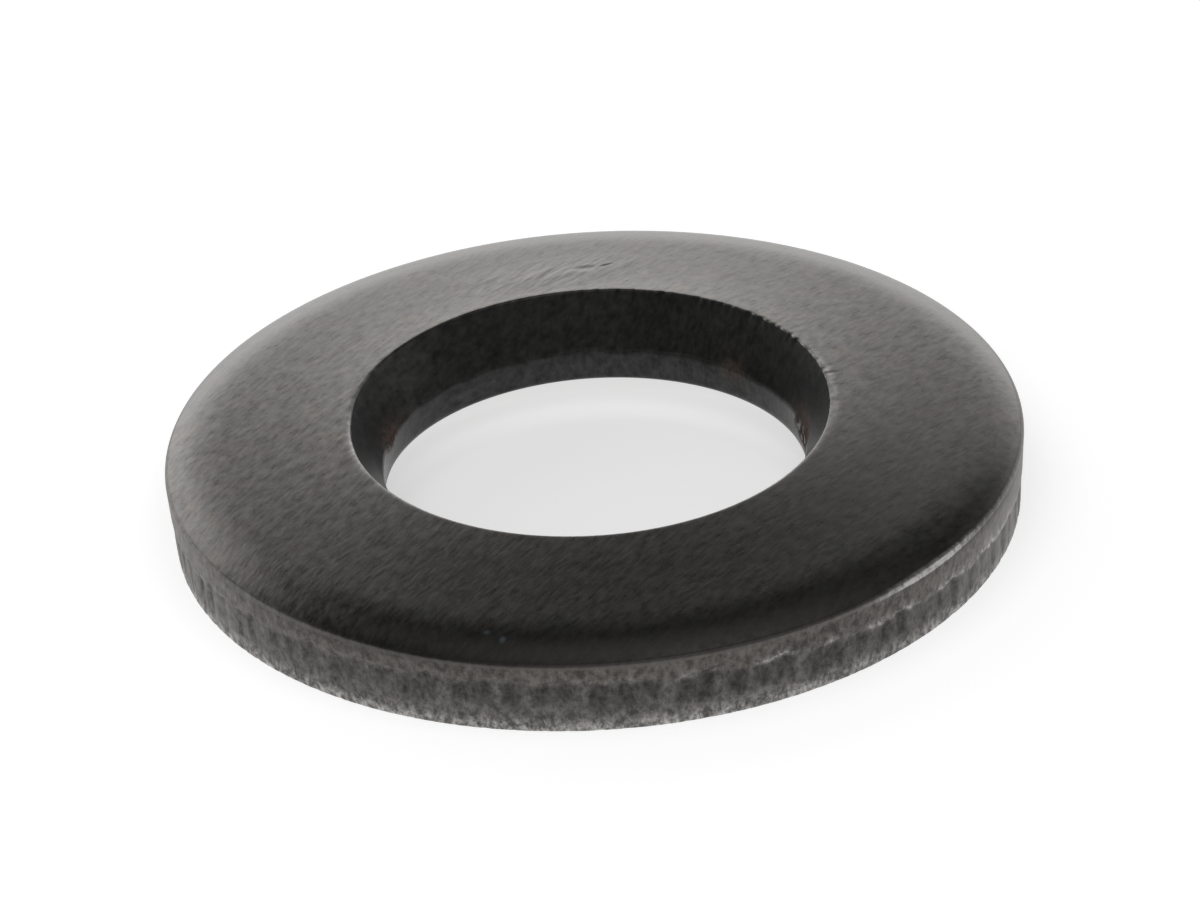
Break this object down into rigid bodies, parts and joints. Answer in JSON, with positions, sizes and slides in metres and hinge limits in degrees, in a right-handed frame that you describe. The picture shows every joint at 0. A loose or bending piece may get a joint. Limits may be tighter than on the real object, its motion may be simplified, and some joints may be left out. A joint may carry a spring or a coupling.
{
  "type": "conical spring washer",
  "caption": "Thick coned steel ring with a plain hole, pressed flat under a screw head to keep the joint tight.",
  "frame": {"origin": "on the axis of the hole, in the plane the washer stands on, which is the circle of its outer bottom edge", "axes": "+Z along the axis of the hole, from the wide bottom of the cone towards the raised rim of the hole; X and Y are free, since only the torn marks on the edges differ from one side to another"},
  "size_m": [0.0178, 0.0178, 0.0024],
  "materials": {
    "blackened_spring_steel": "dark oxide, semi-gloss, faint rolling grain"
  },
  "bodies": {
    "root": {"spring_washer": "blackened_spring_steel"}
  },
  "joints": []
}
